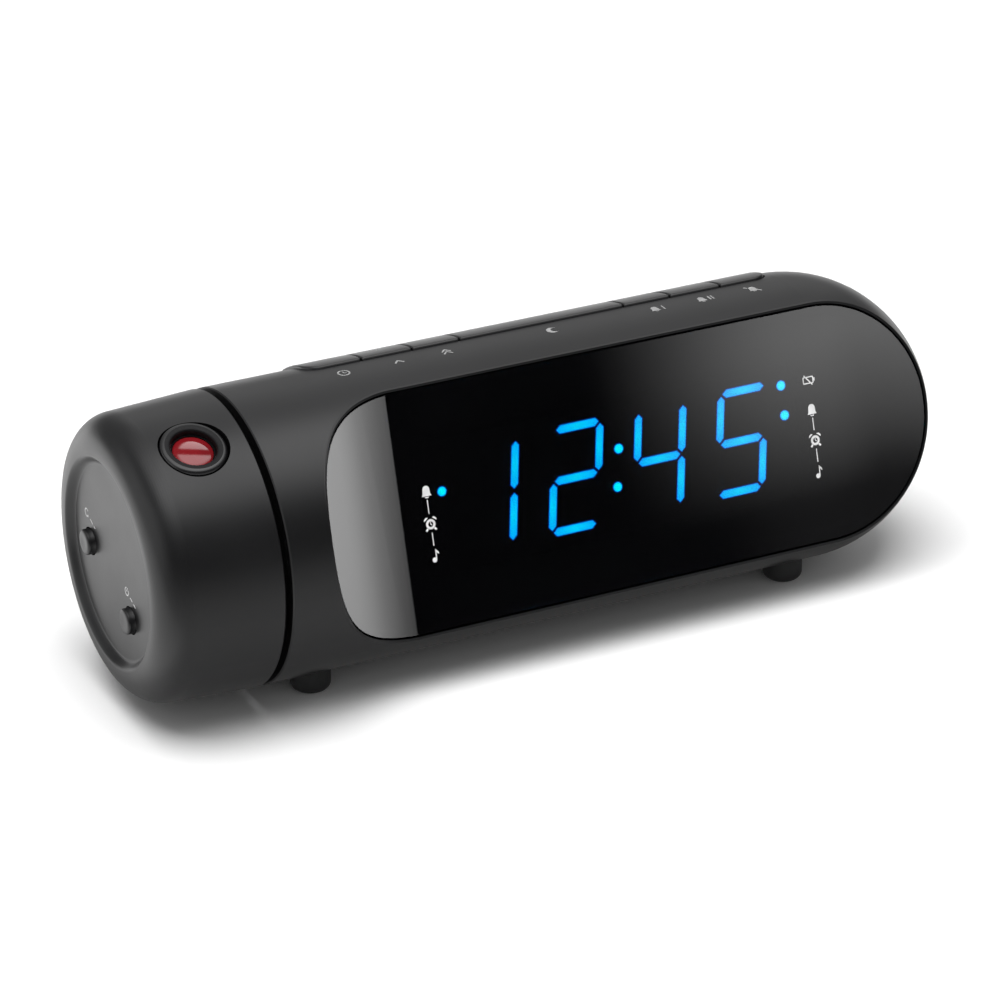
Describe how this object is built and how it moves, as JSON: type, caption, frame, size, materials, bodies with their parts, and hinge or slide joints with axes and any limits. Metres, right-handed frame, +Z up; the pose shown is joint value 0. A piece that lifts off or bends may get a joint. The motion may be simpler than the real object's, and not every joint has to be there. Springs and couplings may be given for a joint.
{
  "type": "projection alarm clock",
  "caption": "Table clock in a round-ended horizontal cylinder, with a slanted glowing time display, a row of top keys and a turning end that projects the time.",
  "frame": {"origin": "on the table, under the middle of the overall length and width", "axes": "+X from the projecting end to the round end, +Y to the back, +Z up; the display faces -Y and slightly up"},
  "size_m": [0.188, 0.062, 0.0641],
  "materials": {
    "housing": "fine satin, black",
    "barrel_shell": "fine satin, black",
    "keys": "satin, black",
    "end_buttons": "satin, dark grey",
    "ring_plastic": "satin, black",
    "inner_plastic": "matt, black",
    "window": "polished, black tinted",
    "lit_bars": "glowing blue",
    "circuit_board": "green solder mask",
    "nylon": "matt, natural",
    "washer": "dense felt",
    "speaker_metal": "zinc grey",
    "speaker_paper": "matt, black",
    "contact_metal": "nickel plated",
    "screw_steel": "dark zinc",
    "rubber_black": "soft, matt",
    "cable_jacket": "matt",
    "lcd_glass": "polished",
    "clear_lens": "polished",
    "led": "gloss, yellow",
    "led_heat_board": "white coated",
    "red_lens": "polished, red"
  },
  "bodies": {
    "clock_body": {"front_housing": "housing", "rear_housing": "housing", "pivot_plate": "inner_plastic", "friction_washer": "washer", "display_window": "window", "digit_bars": "lit_bars", "display_reflector": "inner_plastic", "display_board": "circuit_board", "main_board": "circuit_board", "board_spacers": "nylon", "key_board": "circuit_board", "key_switches": "inner_plastic", "speaker_frame": "speaker_metal", "speaker_cone": "speaker_paper", "battery_contacts": "contact_metal", "power_socket": "inner_plastic", "power_pin": "contact_metal", "antenna_grommet": "rubber_black", "feet": "rubber_black", "housing_screws": "screw_steel"},
    "projector": {"projector_housing": "barrel_shell", "projector_base": "inner_plastic", "hub_clip": "screw_steel", "projector_screws": "screw_steel", "projector_board": "circuit_board", "projector_switches": "inner_plastic", "projector_cable": "cable_jacket", "optics_holder": "inner_plastic", "lcd_cell": "lcd_glass", "condenser_lens": "clear_lens", "projector_led": "led", "led_board": "led_heat_board"},
    "focus": {"focus_ring": "ring_plastic"},
    "lens": {"lens_cell": "inner_plastic", "projection_lens": "red_lens"},
    "time_key": {"time_key": "keys"},
    "hour_key": {"hour_key": "keys"},
    "minute_key": {"minute_key": "keys"},
    "sleep_key": {"sleep_key": "keys"},
    "alarm_1_key": {"alarm_1_key": "keys"},
    "alarm_2_key": {"alarm_2_key": "keys"},
    "alarm_off_key": {"alarm_off_key": "keys"},
    "battery_door": {"battery_door": "housing"},
    "upper_button": {"upper_button": "end_buttons"},
    "lower_button": {"lower_button": "end_buttons"}
  },
  "joints": [
    {"name": "projector_turn", "type": "hinge", "parent": "clock_body", "child": "projector", "pos_m": [-0.0665, 0, 0.033], "axis": [1, 0, 0], "range_deg": [-113.2, 66.8]},
    {"name": "focus_turn", "type": "hinge", "parent": "projector", "child": "focus", "pos_m": [-0.0791, 0, 0.033], "axis": [0, -0.3939, 0.9191], "range_deg": [-66, 66]},
    {"name": "lens_slide", "type": "slide", "parent": "projector", "child": "lens", "axis": [0, -0.3939, 0.9191], "range_m": [-0.0006, 0.0006]},
    {"name": "time_key_press", "type": "slide", "parent": "clock_body", "child": "time_key", "axis": [0, -0.4384, -0.8988], "range_m": [0, 0.0006], "stiffness_N_per_m": 1500, "springref_m": -0.0003},
    {"name": "hour_key_press", "type": "slide", "parent": "clock_body", "child": "hour_key", "axis": [0, -0.4384, -0.8988], "range_m": [0, 0.0006], "stiffness_N_per_m": 1500, "springref_m": -0.0003},
    {"name": "minute_key_press", "type": "slide", "parent": "clock_body", "child": "minute_key", "axis": [0, -0.4384, -0.8988], "range_m": [0, 0.0006], "stiffness_N_per_m": 1500, "springref_m": -0.0003},
    {"name": "sleep_key_press", "type": "slide", "parent": "clock_body", "child": "sleep_key", "axis": [0, -0.4384, -0.8988], "range_m": [0, 0.0006], "stiffness_N_per_m": 1500, "springref_m": -0.0003},
    {"name": "alarm_1_key_press", "type": "slide", "parent": "clock_body", "child": "alarm_1_key", "axis": [0, -0.4384, -0.8988], "range_m": [0, 0.0006], "stiffness_N_per_m": 1500, "springref_m": -0.0003},
    {"name": "alarm_2_key_press", "type": "slide", "parent": "clock_body", "child": "alarm_2_key", "axis": [0, -0.4384, -0.8988], "range_m": [0, 0.0006], "stiffness_N_per_m": 1500, "springref_m": -0.0003},
    {"name": "alarm_off_key_press", "type": "slide", "parent": "clock_body", "child": "alarm_off_key", "axis": [0, -0.4384, -0.8988], "range_m": [0, 0.0006], "stiffness_N_per_m": 1500, "springref_m": -0.0003},
    {"name": "battery_door_swing", "type": "hinge", "parent": "clock_body", "child": "battery_door", "pos_m": [0, 0.01735, 0.0084], "axis": [1, 0, 0], "range_deg": [0, 75]},
    {"name": "upper_button_press", "type": "slide", "parent": "projector", "child": "upper_button", "axis": [1, 0, 0], "range_m": [0, 0.0005], "stiffness_N_per_m": 1500, "springref_m": -0.0003},
    {"name": "lower_button_press", "type": "slide", "parent": "projector", "child": "lower_button", "axis": [1, 0, 0], "range_m": [0, 0.0005], "stiffness_N_per_m": 1500, "springref_m": -0.0003}
  ],
  "couplings": [
    {"joint": "focus_turn", "follows": "lens_slide", "rad_per_m": 1745.3}
  ]
}
